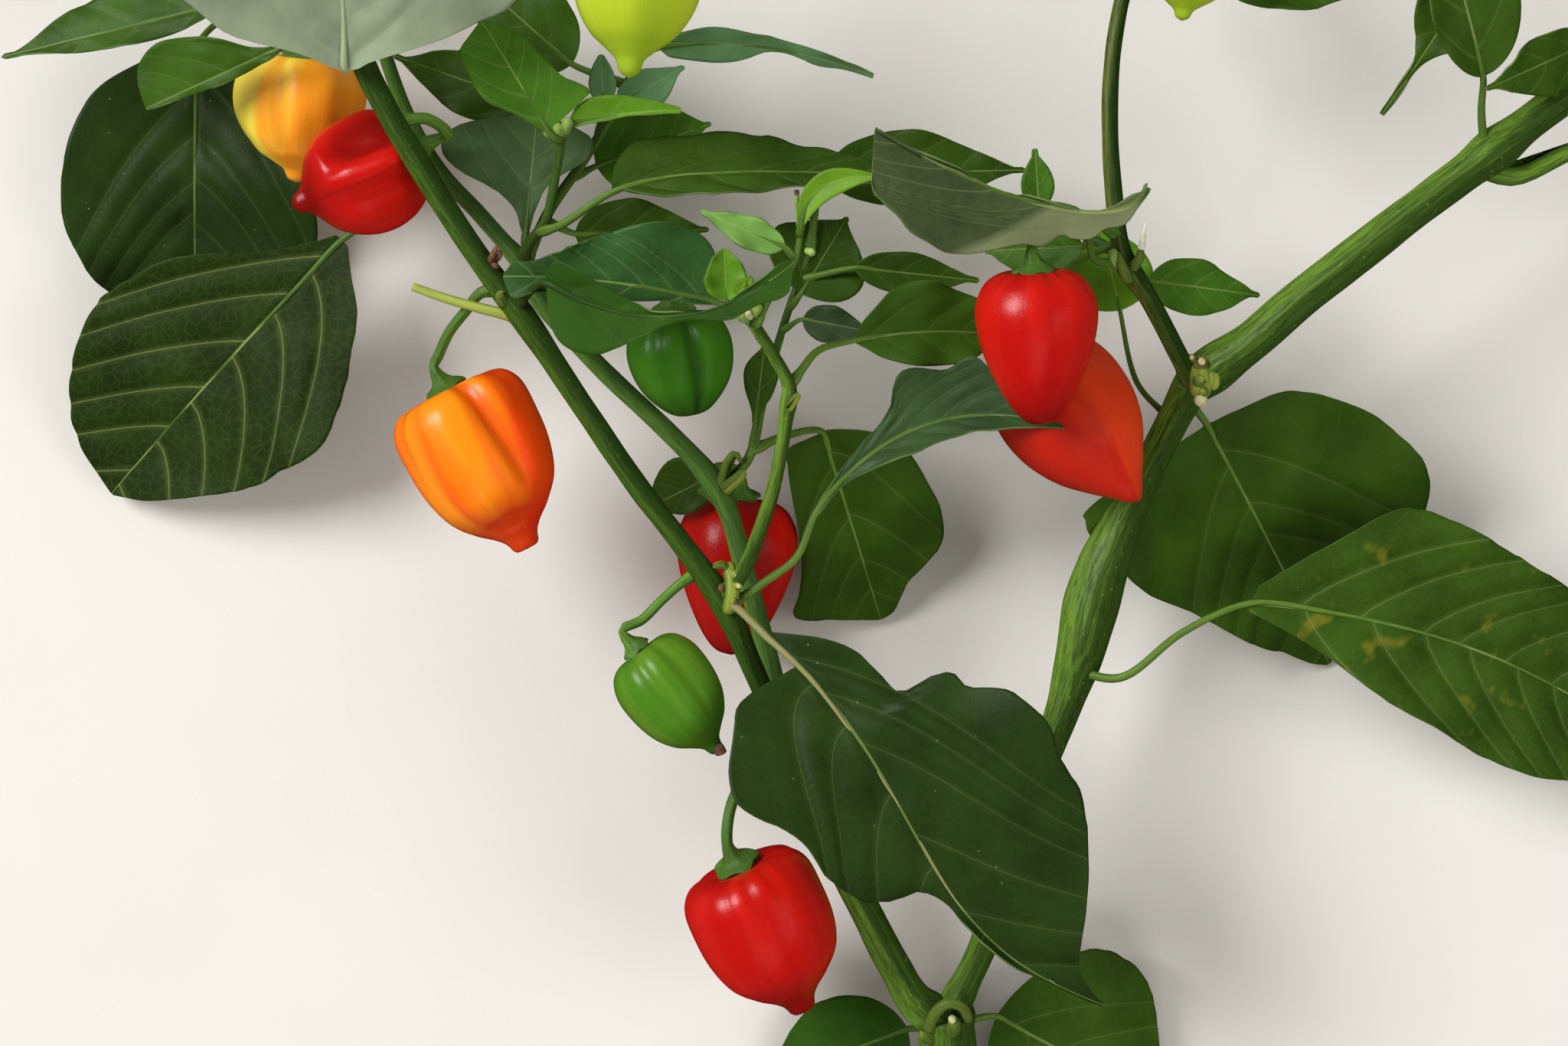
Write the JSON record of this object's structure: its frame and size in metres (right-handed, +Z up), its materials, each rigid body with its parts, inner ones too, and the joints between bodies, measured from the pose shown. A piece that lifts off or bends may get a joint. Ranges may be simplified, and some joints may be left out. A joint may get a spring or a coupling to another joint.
{
  "type": "cut chilli pepper branch",
  "caption": "Cut fruiting branch of a chilli pepper plant, lying down: forked green stems, broad leaves and lantern-shaped red, orange, yellow and green pods.",
  "frame": {"origin": "middle of the underside of the branch's box, on the surface that it lies on", "axes": "+X across the branch's width, +Y from the cut end towards the tips, +Z up from the surface it lies on"},
  "size_m": [0.4283, 0.34, 0.1157],
  "materials": {
    "stem": "smooth green stem, satin, with darker streaks",
    "leaf": "dark green leaf, waxy satin",
    "leaf_young": "mid green young leaf, waxy satin",
    "leaf_pale": "grey-green leaf, matt",
    "stalk": "fresh green fruit stalk, satin",
    "pod_red": "glossy red skin",
    "pod_orange": "glossy orange skin",
    "pod_yellow": "glossy yellow and orange skin",
    "pod_green": "glossy green skin",
    "pod_light_green": "glossy yellow-green skin"
  },
  "bodies": {
    "root": {"main_stem": "stem", "left_bough": "stem", "right_bough": "stem", "left_front_stem": "stem", "back_stem": "stem", "back_stem_upper": "stem", "right_outer_bough": "stem", "right_top_twig": "stem", "centre_twig": "stem", "top_twig": "stem", "tip_shoot": "leaf_young", "back_shoot": "leaf_young", "upper_shoot": "leaf_young", "centre_tip_shoot": "leaf_young", "side_leaves": "leaf_young", "left_end_shoot": "leaf_young", "right_end_shoot": "leaf_young", "outer_end_shoot": "leaf_young", "leaf_front_large": "leaf", "leaf_left_large": "leaf_young", "leaf_left_back": "leaf", "leaf_top_pale": "leaf_pale", "leaf_centre_large": "leaf", "leaf_grey_right": "leaf_pale", "leaf_right_of_centre": "leaf", "leaf_dark_centre": "leaf", "leaf_back_centre": "leaf", "leaf_base_left": "leaf", "leaf_base_right": "leaf", "leaf_right_back": "leaf", "leaf_behind_pods": "leaf", "leaf_right_large": "leaf", "leaf_front_low": "leaf", "leaf_curled_mid": "leaf", "leaf_grey_back": "leaf_pale", "leaf_under_centre": "leaf", "leaf_corner": "leaf", "stalk_orange": "stalk", "stalk_red_low": "stalk", "stalk_green_low": "stalk", "stalk_red_tall": "stalk", "stalk_red_pointed": "stalk", "stalk_dark_green": "stalk", "stalk_red_behind": "stalk", "stalk_red_wrinkled": "stalk", "stalk_yellow": "stalk", "stalk_light_green_top": "stalk", "stalk_light_green_small": "stalk", "pod_orange": "pod_orange", "pod_red_low": "pod_red", "pod_green_low": "pod_green", "pod_red_tall": "pod_red", "pod_red_pointed": "pod_red", "pod_dark_green": "pod_green", "pod_red_behind": "pod_red", "pod_red_wrinkled": "pod_red", "pod_yellow": "pod_yellow", "pod_light_green_top": "pod_light_green", "pod_light_green_small": "pod_light_green"}
  },
  "joints": []
}
